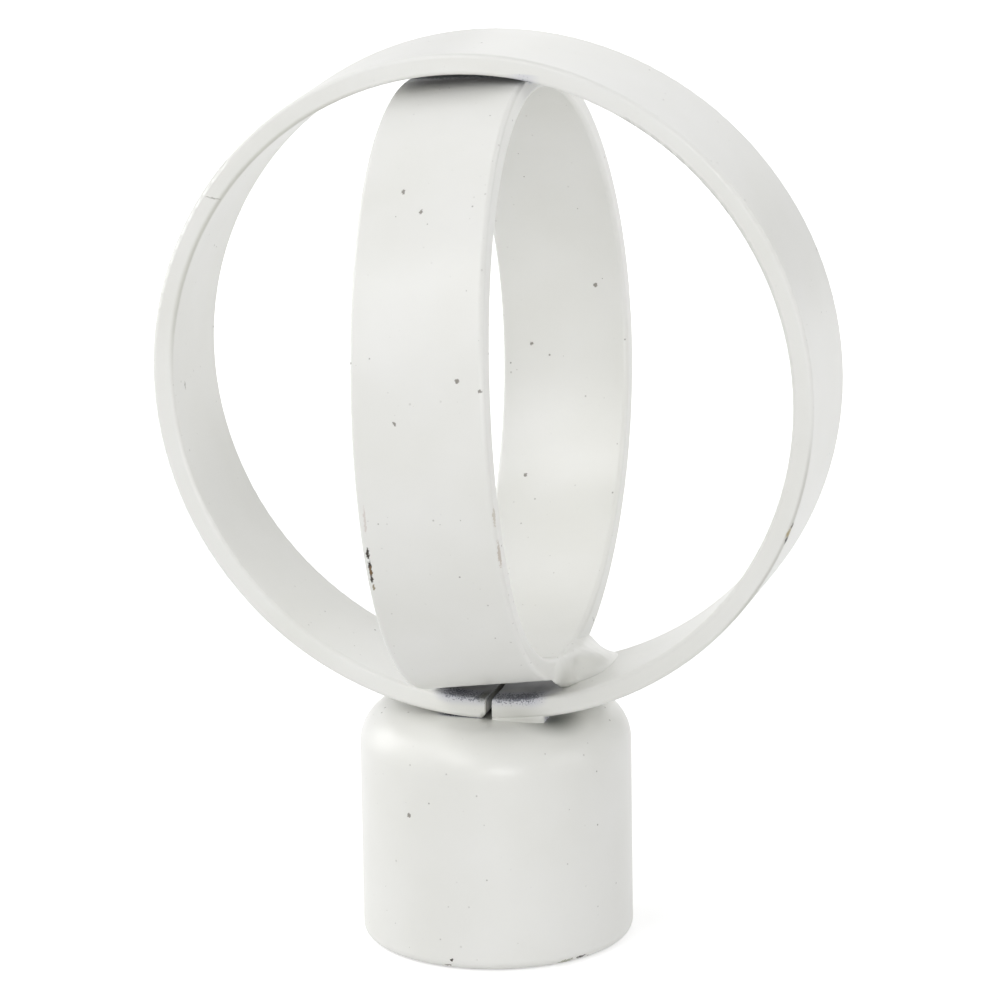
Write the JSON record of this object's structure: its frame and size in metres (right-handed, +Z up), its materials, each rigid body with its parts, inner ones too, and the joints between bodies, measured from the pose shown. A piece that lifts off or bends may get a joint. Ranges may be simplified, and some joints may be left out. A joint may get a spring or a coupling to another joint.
{
  "type": "curtain pole finial",
  "caption": "Painted steel finial: a flat strip hoop with a smaller hoop wedged across its inside, welded on a plain round cap that pushes over the end of a curtain pole.",
  "frame": {"origin": "middle of the cap's mouth, where the pole goes in", "axes": "+Z up along the cap's bore, away from the pole; -Y is the front, where the outer hoop's ring and its butt seam face; +X to the right"},
  "size_m": [0.069, 0.0624, 0.0938],
  "materials": {
    "white_paint": "satin warm white spray paint on steel, thin in the shadowed joints"
  },
  "bodies": {
    "root": {"socket_cap": "white_paint", "outer_hoop": "white_paint", "inner_hoop": "white_paint", "hoop_weld": "white_paint", "cap_weld": "white_paint"}
  },
  "joints": []
}
